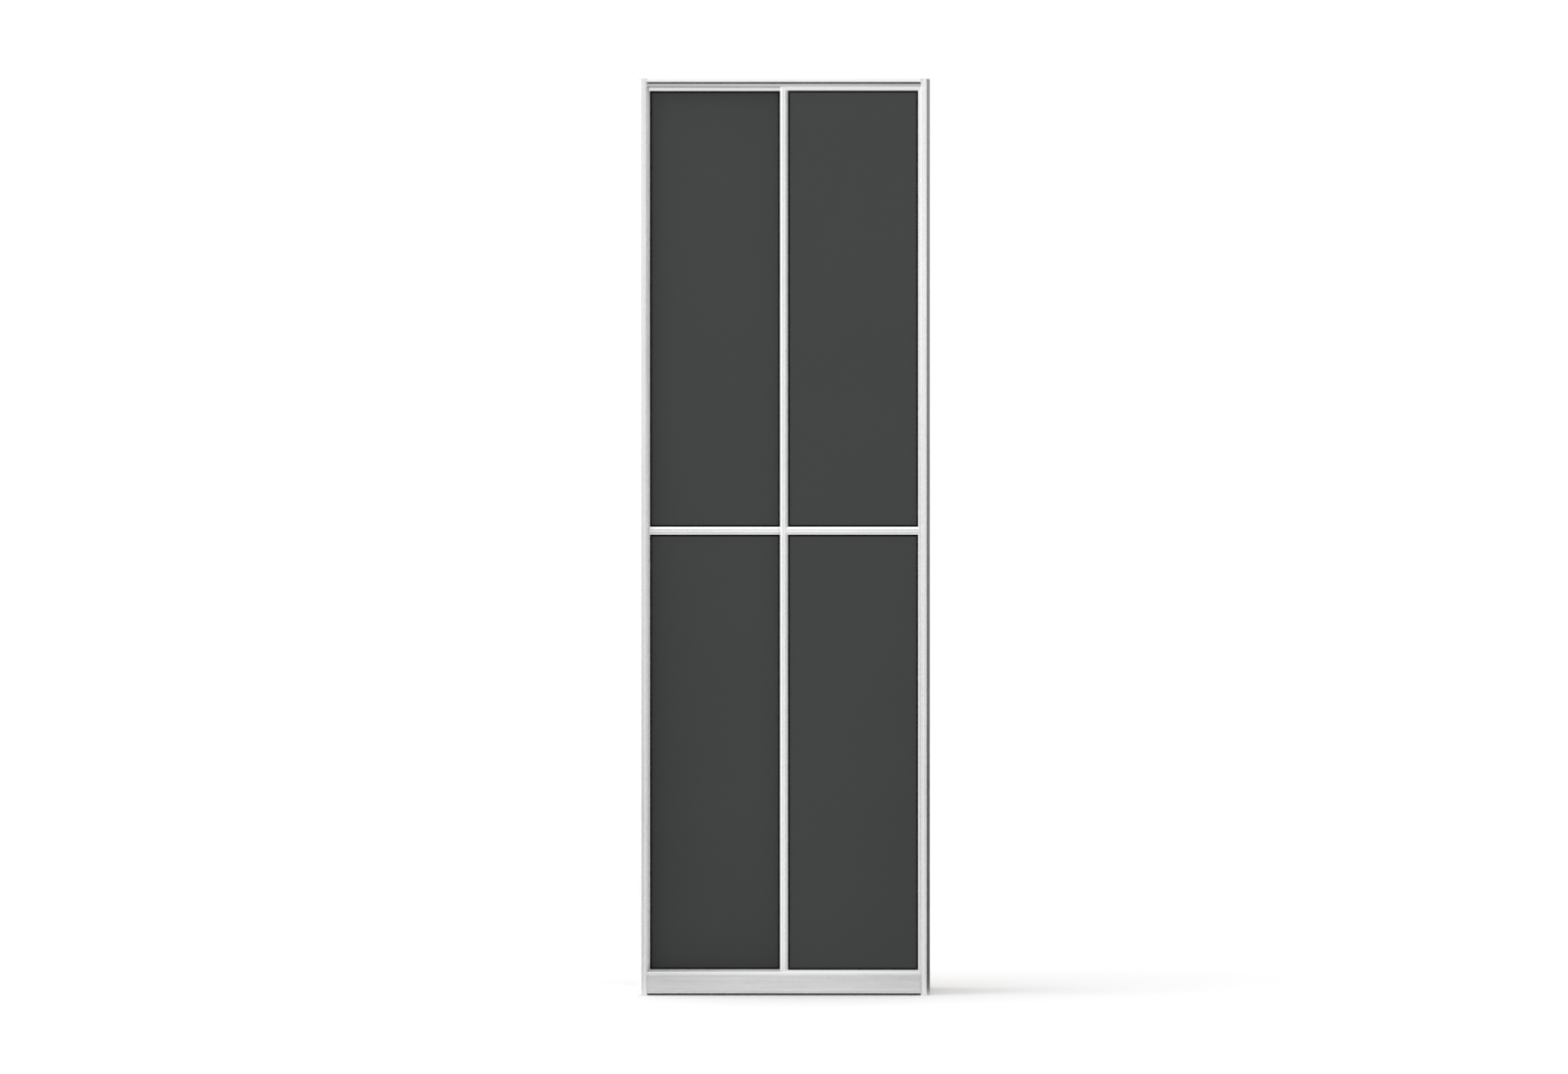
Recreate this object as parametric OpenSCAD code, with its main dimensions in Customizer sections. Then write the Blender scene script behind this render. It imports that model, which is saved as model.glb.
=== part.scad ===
// Two-door sliding wardrobe: a flat-pack board carcass behind a slim aluminium front frame, with two
// framed doors that pass each other on a twin-rib bottom track and are guided by a twin-channel top track.
// Front faces -Y, +X is right as seen from the front, +Z is up. The origin is under the middle of the base.

/* [Carcass] */
// Overall width across the side panels
overall_w = 700; // [600:10:1000]
// Overall depth from the front plane to the rear edges
overall_d = 600; // [560:10:700]
// Overall height above the floor
overall_h = 2200; // [2000:10:2400]
// Thickness of the side, roof, floor and shelf boards
board_t = 16; // [16:1:18]
// Thickness of the two back sheets
back_t = 3; // [3:0.5:4]
// Distance from the rear edges to the outside of the back sheets
back_inset = 9; // [8:1:16]
// Height of the glides under the side panels
glide_h = 3; // [2:1:6]

/* [Front frame] */
// How far each front post reaches inwards past its side panel
post_lip = 6; // [5:1:10]
// Depth of the front posts
post_d = 16; // [14:1:18]
// Height of the front face of the head rail
head_h = 19; // [17:1:24]
// Height of the underside of the plinth face above the floor
sill_low = 5; // [4:1:8]
// Height of the top of the plinth face above the floor
sill_top = 57; // [55:1:60]

/* [Doors] */
// Depth of the door stiles
door_t = 24; // [24:1:26]
// Distance between the front and rear tracks
track_pitch = 32; // [32:1:36]
// Face width of the meeting stiles
stile_w = 18.6; // [18:0.2:26]
// Face width of the outer stiles
outer_stile_w = 8; // [8:1:14]
// Face height of the middle rails
mid_rail_h = 18.6; // [18:0.2:26]
// Height of the centre line of the middle rails
mid_rail_z = 1115; // [900:0.5:1300]
// Thickness of the door panels
panel_t = 10; // [8:1:10]
// Width of gasket that shows round each panel
gasket_show = 4.4; // [1:0.2:5]
// Gap between a closed door's edge and the side panel
door_gap = 4; // [3.6:0.2:6]

/* [Rollers] */
// Radius of the bottom rollers at the bottom of their groove
roller_r = 9; // [9:0.5:9.5]
// Radius of the top guide wheels
guide_r = 10; // [9:0.5:10]
// Distance from a stile to the nearest roller axis
roller_inset = 35; // [32:1:60]

/* [Interior] */
// Height of the underside of the hat shelf
hat_shelf_z = 1850; // [1750:10:1900]
// Height of the centre of the hanging rail
hanging_rail_z = 1790; // [1700:5:1800]
// Height of the underside of the lower shelf
lower_shelf_z = 400; // [272:32:528]

/* [Hidden] */
$fn = 48;

CARCASS_NODES = [
    "side_panel_left", "side_panel_right", "roof_panel", "floor_panel", "hat_shelf", "lower_shelf",
    "back_panel_upper", "back_panel_lower", "back_joint_strip", "front_post_left", "front_post_right",
    "post_end_caps", "head_rail", "head_insert", "sill_rail", "glides", "hanging_rail", "rail_sockets",
    "shelf_pins", "cam_fittings", "wood_dowels", "carcass_screws", "wall_brackets", "door_stops"
];
DOOR_NODES = [
    "meeting_stile", "outer_stile", "top_rail", "mid_rail", "bottom_rail", "upper_panel", "lower_panel",
    "panel_gaskets", "frame_screws", "brush_seals", "roller_carriages", "axle_pins", "adjusting_screws",
    "guide_brackets", "inner_roller", "outer_roller", "inner_guide_wheel", "outer_guide_wheel"
];

// Colours
aluminium = [0.84, 0.84, 0.83];
graphite = [0.27, 0.28, 0.28];
melamine = [0.90, 0.90, 0.88];
hardboard = [0.93, 0.93, 0.91];
steel = [0.66, 0.67, 0.69];
zinc = [0.60, 0.61, 0.62];
nylon = [0.90, 0.89, 0.84];
black_rubber = [0.06, 0.06, 0.06];
grey_plastic = [0.60, 0.61, 0.61];
beech = [0.80, 0.66, 0.46];

// Carcass planes
half_w = overall_w / 2;
front_y = -overall_d / 2;
back_y = overall_d / 2;
inner_x = half_w - board_t;
roof_z = overall_h - board_t;
floor_z = sill_low + 2;
floor_top = floor_z + board_t;
back_face_y = back_y - back_inset;
shelf_back_y = back_face_y - back_t - 2;
groove_depth = 6;
groove_play = 0.2;

// Front frame
post_w = board_t + post_lip;
post_wall = 1.6;
lip_rear = 4;
cap_t = 1.5;
tongue_w = 3;
tongue_l = 8;
tongue_x = half_w - board_t / 2;
front_track = door_t / 2 + 5.5;
rear_track = front_track + track_pitch;
rail_d = rear_track + door_t / 2 + 0.5;
track_wall = 2;
channel_half = guide_r + 0.5;
head_web_t = 2.5;
channel_low = overall_h - head_h + 3.5;
sill_web_t = 2.5;
rib_h = 4;
rib_r = 1.5;
fascia_back = 3.4;
groove_d = 4;
groove_high = 7;
groove_low = 11.9;
end_notch = 0.2;

// Doors, in the frame of the right-hand door: X from the middle of the meeting stile, Y from its front face
door_low = sill_low + 26;
door_high = overall_h - head_h + 2;
bottom_rail_top = sill_top + 4;
top_rail_low = overall_h - head_h - 9.6;
outer_x = inner_x - door_gap;
stile_x = stile_w / 2;
rail_end = outer_x - outer_stile_w;
mid_d = door_t / 2;
channel_w = panel_t + 2;
stile_channel = 8;
outer_channel = 5;
rail_channel = 5.5;
bevel_w = 5.1;
bevel_d = 4.4;
bead_r = 0.9;
outer_bevel = 2.5;
outer_face = 0.7;
rail_face = 1;
skin = 1.5;
port_r = 2.05;
port_half = 3.2;
screw_r = 2;
screw_grip = 24;

// Rollers
rib_top = floor_top + rib_h;
roller_play = 0.1;
flange_r = roller_r + 2;
roller_z = rib_top + roller_play + roller_r;
axle_r = 3;
bore_r = axle_r + 0.05;
cheek_t = 2;
cheek_out = mid_d - rail_face - skin - 0.1;
carriage_l = 24;
carriage_high = roller_z + 8;
pivot_r = 2;
pivot_x = 19;
guide_low = channel_low + 0.8;
guide_h = 7;
bracket_t = 1.5;
roller_spots = [stile_x + roller_inset, rail_end - roller_inset];

// Fittings
cam_r = 7.5;
cam_h = 12.4;
cam_in = 34;
bolt_in = 11;
dowel_r = 4;
pin_r = 2.5;
fixing_r = 1.75;
fit_play = 0.1;
fitting_ys = [front_y + 120, back_y - 80];
dowel_offset = 32;
joint_boards = [floor_z, hat_shelf_z, roof_z];
pin_rows = [front_y + rail_d + 37, back_face_y - 40];
pin_pitch = 32;
pin_drop = 5;
rail_y = (front_y + rail_d + back_face_y) / 2;
tube_h = 30;
tube_w = 15;
tube_wall = 1.2;
socket_dy = 19;
glide_ys = [front_y + 60, back_y - 40];
bracket_xs = [-280, 280];
wall_hole_r = 2.75;
wall_hole_z = roof_z - 28;
fascia_screw_xs = [-250, 0, 250];
bumper_r = 3.5;
bumper_t = door_gap - 0.3;
bumper_y = 16;
bumper_zs = [200, overall_h - 200];
joint_z = overall_h / 2;

// ---------- Helpers ----------

// A box from its lowest to its highest corner
module block(low, high) {
    translate(low) cube(high - low);
}

// Extrudes a section drawn as (Y, Z) from x0 to x1
module along_x(x0, x1) {
    translate([x0, 0, 0]) rotate([90, 0, 90]) linear_extrude(x1 - x0) children();
}

// A rod along X, Y or Z between two values
module rod_x(r, x0, x1, y, z) {
    translate([x0, y, z]) rotate([0, 90, 0]) cylinder(r = r, h = x1 - x0);
}
module rod_y(r, x, y0, y1, z) {
    translate([x, y1, z]) rotate([90, 0, 0]) cylinder(r = r, h = y1 - y0);
}
module rod_z(r, x, y, z0, z1) {
    translate([x, y, z0]) cylinder(r = r, h = z1 - z0);
}

// Repeats its children on the left and right sides
module both_sides() {
    for (m = [0, 1]) mirror([m, 0, 0]) children();
}

// Points of an arc about (x, y), counted in degrees
function arc(x, y, r, from, to, steps = 8) =
    [for (i = [0:steps]) let (a = from + (to - from) * i / steps) [x + r * cos(a), y + r * sin(a)]];

// A half section and its mirror image about the first axis's zero
function doubled(half) = concat(half, [for (i = [len(half) - 1:-1:0]) [-half[i][0], half[i][1]]]);

// An upright slot outline: straight sides with round ends
function slot(w, h) =
    concat(arc(0, h / 2 - w / 2, w / 2, 0, 180, 12), arc(0, w / 2 - h / 2, w / 2, 180, 360, 12));

// The visible face of a door profile: a flat between two fine beads, with a bevel beyond each
function door_face(w) = concat(
    [[-w / 2, bevel_d]],
    arc(bevel_w - w / 2 + bead_r, bead_r, bead_r, 180, 360),
    arc(w / 2 - bevel_w - bead_r, bead_r, bead_r, 180, 360),
    [[w / 2, bevel_d]]
);

// ---------- Carcass boards ----------

// Fitting holes in the end of a horizontal board whose underside is at z
module board_end_holes(z) {
    both_sides() for (y = fitting_ys) {
        rod_z(cam_r + fit_play, inner_x - cam_in, y, z - 1, z + cam_h + 0.4);
        rod_x(dowel_r, inner_x - cam_in, inner_x + 1, y, z + board_t / 2);
        rod_x(dowel_r + fit_play, inner_x - 21, inner_x + 1, y + dowel_offset, z + board_t / 2);
    }
}

module side_panel() {
    shelf_pin_z = lower_shelf_z - pin_drop;
    color(melamine) difference() {
        block([inner_x, front_y + post_d, glide_h], [half_w, back_y, overall_h]);
        // Groove for the post's tongue
        block([tongue_x - tongue_w / 2 - fit_play, front_y + post_d - 1, glide_h - 1],
              [tongue_x + tongue_w / 2 + fit_play, front_y + post_d + tongue_l + 0.5, overall_h + 1]);
        // Groove for the back sheets
        block([inner_x - 1, back_face_y - back_t - groove_play, glide_h - 1],
              [inner_x + groove_depth, back_face_y + groove_play, overall_h + 1]);
        for (z = joint_boards, y = fitting_ys) {
            rod_x(pin_r + fit_play, inner_x - 1, inner_x + bolt_in + 0.5, y, z + board_t / 2);
            rod_x(dowel_r + fit_play, inner_x - 1, inner_x + 10.5, y + dowel_offset, z + board_t / 2);
        }
        for (y = pin_rows, row = [-3:5])
            rod_x(pin_r + fit_play, inner_x - 1, inner_x + 9, y, shelf_pin_z + row * pin_pitch);
        for (dy = [-socket_dy, socket_dy])
            rod_x(fixing_r + fit_play, inner_x - 1, inner_x + 12.5, rail_y + dy, hanging_rail_z);
        for (y = glide_ys) rod_z(pin_r + fit_play, tongue_x, y, glide_h - 1, glide_h + 12.5);
    }
}

module side_panel_right() { side_panel(); }
module side_panel_left() { mirror([1, 0, 0]) side_panel(); }

module roof_panel() {
    color(melamine) difference() {
        block([-inner_x, front_y + rail_d, roof_z], [inner_x, back_y, overall_h]);
        block([-inner_x - 1, back_face_y - back_t - groove_play, roof_z - 1],
              [inner_x + 1, back_face_y + groove_play, roof_z + groove_depth]);
        board_end_holes(roof_z);
        for (x = fascia_screw_xs)
            rod_y(fixing_r + fit_play, x, front_y + rail_d - 1, front_y + rail_d + 30, roof_z + board_t / 2);
        for (x = bracket_xs, dx = [-10, 10])
            rod_z(fixing_r + fit_play, x + dx, back_face_y - 22, roof_z - 1, roof_z + 12.5);
    }
}

module floor_panel() {
    color(melamine) difference() {
        block([-inner_x, front_y + rail_d, floor_z], [inner_x, back_y, floor_top]);
        block([-inner_x - 1, back_face_y - back_t - groove_play, floor_top - groove_depth],
              [inner_x + 1, back_face_y + groove_play, floor_top + 1]);
        board_end_holes(floor_z);
        for (x = fascia_screw_xs)
            rod_y(fixing_r + fit_play, x, front_y + rail_d - 1, front_y + rail_d + 30, floor_z + board_t / 2);
    }
}

module hat_shelf() {
    color(melamine) difference() {
        block([-inner_x, front_y + rail_d + 10, hat_shelf_z], [inner_x, shelf_back_y, hat_shelf_z + board_t]);
        board_end_holes(hat_shelf_z);
    }
}

module lower_shelf() {
    play = 0.75;
    color(melamine)
        block([play - inner_x, front_y + rail_d + 10, lower_shelf_z],
              [inner_x - play, shelf_back_y, lower_shelf_z + board_t]);
}

// One back sheet between two heights
module back_sheet(z0, z1) {
    reach = inner_x + groove_depth - 0.5;
    color(hardboard) difference() {
        block([-reach, back_face_y - back_t, z0], [reach, back_face_y, z1]);
        if (z1 > wall_hole_z) for (x = bracket_xs) rod_y(4, x, back_y - 30, back_y, wall_hole_z);
    }
}

module back_panel_upper() { back_sheet(joint_z + 1, roof_z + groove_depth - 0.5); }
module back_panel_lower() { back_sheet(floor_top - groove_depth + 0.5, joint_z - 1); }

// Strip of H section that joins the back sheets
module back_joint_strip() {
    flange_h = 12;
    flange_t = 1.2;
    front = back_face_y - back_t - groove_play;
    rear = back_face_y + groove_play;
    color(nylon) along_x(-inner_x, inner_x) polygon([
        [front - flange_t, joint_z - flange_h], [front, joint_z - flange_h], [front, joint_z - 0.8],
        [rear, joint_z - 0.8], [rear, joint_z - flange_h], [rear + flange_t, joint_z - flange_h],
        [rear + flange_t, joint_z + flange_h], [rear, joint_z + flange_h], [rear, joint_z + 0.8],
        [front, joint_z + 0.8], [front, joint_z + flange_h], [front - flange_t, joint_z + flange_h]
    ]);
}

// ---------- Front frame ----------

// Post section as (distance in from the outer face, depth from the front plane), without its tongue
function post_outline() = concat(
    [[0, post_d], [0, 8.5]],
    arc(8.4, 1, 1, 170, 370),
    [[post_w - 7.6, 1], [post_w - 4.9, 1.6]],
    arc(post_w - 3.7, 1.9, 1, 180, 340),
    [[post_w - 0.6, 2.7], [post_w, 3.3], [post_w, lip_rear], [board_t, lip_rear], [board_t, post_d]]
);
function post_hollow(play = 0) = [
    [post_wall + play, post_d - post_wall - play], [post_wall + play, 9.7 + play], [8.2 + play, 2.8 + play],
    [board_t - post_wall - play, 2.8 + play], [board_t - post_wall - play, post_d - post_wall - play]
];

// Places a section given from the outer face inwards as the right-hand post
module at_post(z0, z1) {
    translate([half_w, front_y, z0]) mirror([1, 0, 0]) linear_extrude(z1 - z0) children();
}

module front_post() {
    color(aluminium) difference() {
        union() {
            at_post(cap_t, overall_h - cap_t) polygon(post_outline());
            block([tongue_x - tongue_w / 2, front_y + post_d - 0.5, glide_h],
                  [tongue_x + tongue_w / 2, front_y + post_d + tongue_l, overall_h - cap_t]);
        }
        at_post(-1, overall_h + 1) polygon(post_hollow());
    }
}

module front_post_right() { front_post(); }
module front_post_left() { mirror([1, 0, 0]) front_post(); }

module post_end_caps() {
    plug_l = 12;
    color(grey_plastic) both_sides() {
        at_post(0, cap_t) polygon(post_outline());
        at_post(cap_t - 0.5, plug_l) polygon(post_hollow(fit_play));
        at_post(overall_h - cap_t, overall_h) polygon(post_outline());
        at_post(overall_h - plug_l, overall_h - cap_t + 0.5) polygon(post_hollow(fit_play));
    }
}

// Takes a rail's front corners back behind the post lips
module between_posts(z0, z1) {
    difference() {
        children();
        both_sides()
            block([half_w - post_w - end_notch, front_y - 1, z0 - 1],
                  [half_w, front_y + lip_rear + end_notch, z1 + 1]);
    }
}

// Countersunk wood screw along +Y with its head face at y
module flat_screw_y(x, y, z, length, play = 0) {
    translate([x, y, z]) rotate([-90, 0, 0]) {
        cylinder(r1 = 3.5 + play, r2 = fixing_r + play, h = 2);
        translate([0, 0, 1.9]) cylinder(r = fixing_r + play, h = length - 1.9);
    }
}

// Twin-channel head rail: stepped front cap above the guide channels
module head_rail() {
    top = overall_h;
    web = top - head_web_t;
    // A channel wall that hangs from the web between two depths, from back to front
    function wall(front, rear) = [[rear, web], [rear, channel_low], [front, channel_low], [front, web]];
    outline = concat(
        [[0.8, top], [rail_d, top], [rail_d, channel_low], [rail_d - track_wall, channel_low],
         [rail_d - track_wall, web]],
        wall(rear_track - channel_half - track_wall, rear_track - channel_half),
        wall(front_track + channel_half, front_track + channel_half + track_wall),
        [[front_track - channel_half, web], [front_track - channel_half, channel_low],
         [5, channel_low], [5, top - head_h], [4, top - head_h], [0.8, top - 12.4],
         [1.4, top - groove_low], [groove_d, top - groove_low], [groove_d, top - groove_high],
         [1.2, top - groove_high], [1, top - 6.4], [0.5, top - 4.8], [0.1, top - 3], [0, top - 1.6],
         [0.2, top - 0.6]]
    );
    color(aluminium) between_posts(top - head_h, top) difference() {
        along_x(-inner_x, inner_x) translate([front_y, 0]) polygon(outline);
        for (x = fascia_screw_xs)
            flat_screw_y(x, front_y + rail_d - track_wall, roof_z + board_t / 2, 6, 0.05);
    }
}

// Black strip pressed into the groove of the head rail
module head_insert() {
    reach = half_w - post_w - 0.5;
    color(black_rubber) along_x(-reach, reach) translate([front_y, overall_h]) polygon([
        [groove_d, 3.4 - groove_low], [1.6, 3.4 - groove_low], [2.2, 0.6 - groove_low],
        [2.2, 0.05 - groove_low], [groove_d, 0.05 - groove_low]
    ]);
}

// Twin-rib sill rail: plinth face, web and two round-topped running ribs
module sill_rail() {
    top = floor_top;
    low = top - sill_web_t;
    function rib(track) =
        concat([[track + rib_r, top]], arc(track, rib_top - rib_r, rib_r, 0, 180), [[track - rib_r, top]]);
    outline = concat(
        [[fascia_back, sill_top], [2.2, sill_top], [1, sill_top - 1.6], [1, sill_top - 6.6],
         [2.4, sill_top - 8.4], [1.3, sill_top - 8.9], [1.3, sill_low + 7.2], [0.9, sill_low + 6.6],
         [0.9, sill_low + 5], [2.3, sill_low + 3.2], [1.5, sill_low + 2.6], [1.7, sill_low + 0.5],
         [2.1, sill_low], [fascia_back, sill_low],
         [fascia_back, low]],
        [[31, low], [31, sill_low], [33, sill_low], [33, low], [rail_d - track_wall, low],
         [rail_d - track_wall, floor_z], [rail_d, floor_z], [rail_d, top]],
        rib(rear_track),
        rib(front_track),
        [[fascia_back, top]]
    );
    color(aluminium) between_posts(sill_low, sill_top) difference() {
        along_x(-inner_x, inner_x) translate([front_y, 0]) polygon(outline);
        for (x = fascia_screw_xs)
            flat_screw_y(x, front_y + rail_d - track_wall, floor_z + board_t / 2, 6, 0.05);
    }
}

// ---------- Carcass fittings ----------

module glides() {
    color(grey_plastic) both_sides() for (y = glide_ys) {
        difference() {
            block([inner_x + 1, y - 15, 0], [half_w - 1, y + 15, glide_h]);
            for (dy = [-10, 10]) rod_z(1.5, tongue_x, y + dy, -1, glide_h + 1);
        }
        rod_z(pin_r, tongue_x, y, glide_h - 0.5, glide_h + 12);
    }
}

module hanging_rail() {
    tube_end = inner_x - 3;
    color(steel) along_x(-tube_end, tube_end) translate([rail_y, hanging_rail_z]) difference() {
        polygon(slot(tube_w, tube_h));
        polygon(slot(tube_w - 2 * tube_wall, tube_h - 2 * tube_wall));
    }
}

// Open-topped cups that carry the hanging rail
module rail_sockets() {
    plate_t = 2.5;
    cup_l = 10;
    cup_wall = 2;
    seat = 0.2;
    color(zinc) both_sides() difference() {
        union() {
            block([inner_x - plate_t, rail_y - 26, hanging_rail_z - 19],
                  [inner_x, rail_y + 26, hanging_rail_z + 17]);
            along_x(inner_x - plate_t - cup_l, inner_x - plate_t + 0.5) translate([rail_y, hanging_rail_z])
                polygon(concat(
                    arc(0, tube_w / 2 - tube_h / 2, tube_w / 2 + cup_wall, 180, 360, 12),
                    [[tube_w / 2 + cup_wall, 10], [-tube_w / 2 - cup_wall, 10]]
                ));
        }
        along_x(inner_x - plate_t - cup_l - 1, inner_x - plate_t) translate([rail_y, hanging_rail_z])
            polygon(concat(
                arc(0, tube_w / 2 - tube_h / 2, tube_w / 2 + seat, 180, 360, 12),
                [[tube_w / 2 + seat, 20], [-tube_w / 2 - seat, 20]]
            ));
        for (dy = [-socket_dy, socket_dy])
            rod_x(fixing_r + fit_play, inner_x - plate_t - 1, inner_x + 1, rail_y + dy, hanging_rail_z);
    }
}

module shelf_pins() {
    color(steel) both_sides() for (y = pin_rows) {
        rod_x(pin_r, inner_x - 2, inner_x + 8, y, lower_shelf_z - pin_drop);
        block([inner_x - 9, y - 4, lower_shelf_z - 1.5], [inner_x, y + 4, lower_shelf_z]);
        block([inner_x - 2, y - 4, lower_shelf_z - pin_drop - 4], [inner_x, y + 4, lower_shelf_z - 0.5]);
    }
}

module cam_fittings() {
    color(zinc) both_sides() for (z = joint_boards, y = fitting_ys) {
        mid = z + board_t / 2;
        translate([inner_x - cam_in, y, z + 0.2]) difference() {
            cylinder(r = cam_r, h = cam_h);
            rod_x(dowel_r - 0.1, -5, cam_r + 1, 0, board_t / 2 - 0.2);
            for (turn = [0, 90]) rotate(turn) block([-4.5, -0.7, -1], [4.5, 0.7, 2]);
        }
        rod_x(pin_r, inner_x - 1, inner_x + bolt_in, y, mid);
        rod_x(3, inner_x - cam_in + 2.5, inner_x, y, mid);
        rod_x(3.6, inner_x - cam_in - 2, inner_x - cam_in + 3, y, mid);
    }
}

module wood_dowels() {
    color(beech) both_sides() for (z = joint_boards, y = fitting_ys)
        rod_x(dowel_r, inner_x - 20, inner_x + 10, y + dowel_offset, z + board_t / 2);
}

// Pan-head screw along +X or +Z, its head's underside at the given plane
module pan_screw_x(x, y, z, length) {
    rod_x(fixing_r, x - 0.5, x + length, y, z);
    difference() {
        rod_x(3.4, x - 2, x, y, z);
        for (turn = [0, 90]) translate([x - 2, y, z]) rotate([turn, 0, 0]) block([-1, -2, -0.4], [1, 2, 0.4]);
    }
}
module pan_screw_z(x, y, z, length) {
    translate([x, y, z]) rotate([0, -90, 0]) pan_screw_x(0, 0, 0, length);
}

module carcass_screws() {
    color(steel) {
        for (x = fascia_screw_xs, z = [floor_z, roof_z])
            flat_screw_y(x, front_y + rail_d - track_wall, z + board_t / 2, 30);
        both_sides() for (dy = [-socket_dy, socket_dy])
            pan_screw_x(inner_x - 2.5, rail_y + dy, hanging_rail_z, 14);
        for (x = bracket_xs, dx = [-10, 10]) pan_screw_z(x + dx, back_face_y - 22, roof_z - 2, 14);
    }
}

// Angle brackets that take one wall screw each
module wall_brackets() {
    leg_t = 2;
    rear = back_face_y - back_t - 1;
    color(steel) for (x = bracket_xs) difference() {
        union() {
            block([x - 20, rear - 32, roof_z - leg_t], [x + 20, rear, roof_z]);
            block([x - 20, rear - leg_t, roof_z - 44], [x + 20, rear, roof_z - 0.5]);
        }
        rod_y(wall_hole_r, x, rear - leg_t - 1, rear + 1, wall_hole_z);
        for (dx = [-10, 10])
            rod_z(fixing_r + fit_play, x + dx, back_face_y - 22, roof_z - leg_t - 1, roof_z + 1);
    }
}

// Rubber buttons that the door edges meet at both ends of their travel
module door_stops() {
    color(black_rubber) both_sides() for (track = [front_track, rear_track], z = bumper_zs)
        rod_x(bumper_r, inner_x - bumper_t, inner_x, front_y + track - mid_d + bumper_y, z);
}

// ---------- Doors ----------

// Puts door geometry on its track: the right door in front, the left door mirrored behind it
module on_track(side) {
    track = side == "right" ? front_track : rear_track;
    translate([0, front_y + track - mid_d, 0]) mirror([side == "right" ? 0 : 1, 0, 0]) children();
}

function meeting_outline() = concat(door_face(stile_w), [
    [stile_x, mid_d - channel_w / 2], [stile_x - stile_channel, mid_d - channel_w / 2],
    [stile_x - stile_channel, mid_d + channel_w / 2], [stile_x, mid_d + channel_w / 2],
    [stile_x, door_t - skin], [stile_x - skin, door_t], [skin - stile_x, door_t], [-stile_x, door_t - skin]
]);
function outer_outline() = [
    [rail_end, 2.8], [rail_end + outer_bevel, outer_face], [outer_x - 4.6, outer_face],
    [outer_x - 4.4, outer_face + 1.4], [outer_x - 1.8, outer_face], [outer_x - 1, outer_face], [outer_x, 1.5],
    [outer_x, door_t - 1],
    [outer_x - 1, door_t], [rail_end + 1, door_t], [rail_end, door_t - 1],
    [rail_end, mid_d + channel_w / 2], [rail_end + outer_channel, mid_d + channel_w / 2],
    [rail_end + outer_channel, mid_d - channel_w / 2], [rail_end, mid_d - channel_w / 2]
];

// Heights of the frame screws, from the bottom rail to the top rail
port_zs = [bottom_rail_top - 9.3, mid_rail_z, top_rail_low + 7.8];

module meeting_stile(side) {
    web = stile_x - stile_channel - skin;
    color(aluminium) on_track(side) difference() {
        translate([0, 0, door_low]) linear_extrude(door_high - door_low) polygon(meeting_outline());
        translate([0, 0, door_low - 1]) linear_extrude(door_high - door_low + 2) polygon([
            [skin - stile_x, bevel_d + 1], [bevel_w - stile_x + 0.6, 2.2], [web, 2.2],
            [web, door_t - skin], [skin - stile_x, door_t - skin]
        ]);
        for (z = port_zs) {
            rod_x(screw_r + fit_play, web - 1, web + skin + 1, mid_d, z);
            rod_x(4.5, -stile_x - 1, skin - stile_x + 1, mid_d, z);
        }
    }
}

module outer_stile(side) {
    color(aluminium) on_track(side) difference() {
        translate([0, 0, door_low]) linear_extrude(door_high - door_low) polygon(outer_outline());
        block([outer_x - 1.8, 2.5, door_low - 1], [outer_x + 1, 7.5, door_high + 1]);
        for (z = port_zs) {
            rod_x(screw_r + fit_play, rail_end, outer_x, mid_d, z);
            rod_x(4, outer_x - 2, outer_x + 1, mid_d, z);
        }
    }
}

// Runs a rail section from stile to stile, with its ends coped over the stile bevels and a screw port
module rail_between(z0, z1, port_z) {
    difference() {
        along_x(stile_x - bevel_w, rail_end + outer_bevel) children();
        translate([0, 0, z0 - 1]) linear_extrude(z1 - z0 + 2)
            polygon([[0, bead_r], [stile_x - bevel_w, bead_r], [stile_x, bevel_d], [stile_x, door_t + 1],
                     [0, door_t + 1]]);
        translate([0, 0, z0 - 1]) linear_extrude(z1 - z0 + 2)
            polygon([[rail_end, 2.8], [rail_end + outer_bevel, outer_face], [outer_x, outer_face],
                     [outer_x, door_t + 1], [rail_end, door_t + 1]]);
        rod_x(port_r, 0, outer_x, mid_d, port_z);
    }
}

module top_rail(side) {
    z0 = top_rail_low;
    z1 = door_high;
    outer = mid_d - rail_face;
    inner = outer - skin;
    floor = z0 + rail_channel;
    half = [
        [0, floor], [channel_w / 2, floor], [channel_w / 2, z0], [outer - 0.8, z0], [outer, z0 + 0.8],
        [outer, z1], [inner, z1], [inner, floor + skin], [port_half - 0.3, floor + skin],
        [port_half - 0.3, z1 - bracket_t], [0, z1 - bracket_t]
    ];
    color(aluminium) on_track(side) difference() {
        rail_between(z0, z1, port_zs[2]) translate([mid_d, 0]) polygon(doubled(half));
        for (x = roller_spots, dx = [-14, 14]) rod_z(1.6, x + dx, mid_d + 6.2, floor - 1, z1);
    }
}

module mid_rail(side) {
    half_h = mid_rail_h / 2;
    web = half_h - rail_channel;
    back = door_t - 4;
    front_lip = mid_d - channel_w / 2;
    back_lip = mid_d + channel_w / 2;
    outline = concat(door_face(mid_rail_h), [
        [half_h, front_lip], [web, front_lip], [web, back_lip], [half_h, back_lip], [half_h, back],
        [-half_h, back], [-half_h, back_lip], [-web, back_lip], [-web, front_lip], [-half_h, front_lip]
    ]);
    color(aluminium) on_track(side) rail_between(mid_rail_z - half_h, mid_rail_z + half_h, port_zs[1])
        difference() {
            polygon([for (p = outline) [p[1], mid_rail_z + p[0]]]);
            translate([2.4, mid_rail_z - web + skin]) square([5.6, 2 * (web - skin)]);
            translate([back_lip - 2, mid_rail_z - web + skin]) square([2.5, 2 * (web - skin)]);
        }
}

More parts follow.
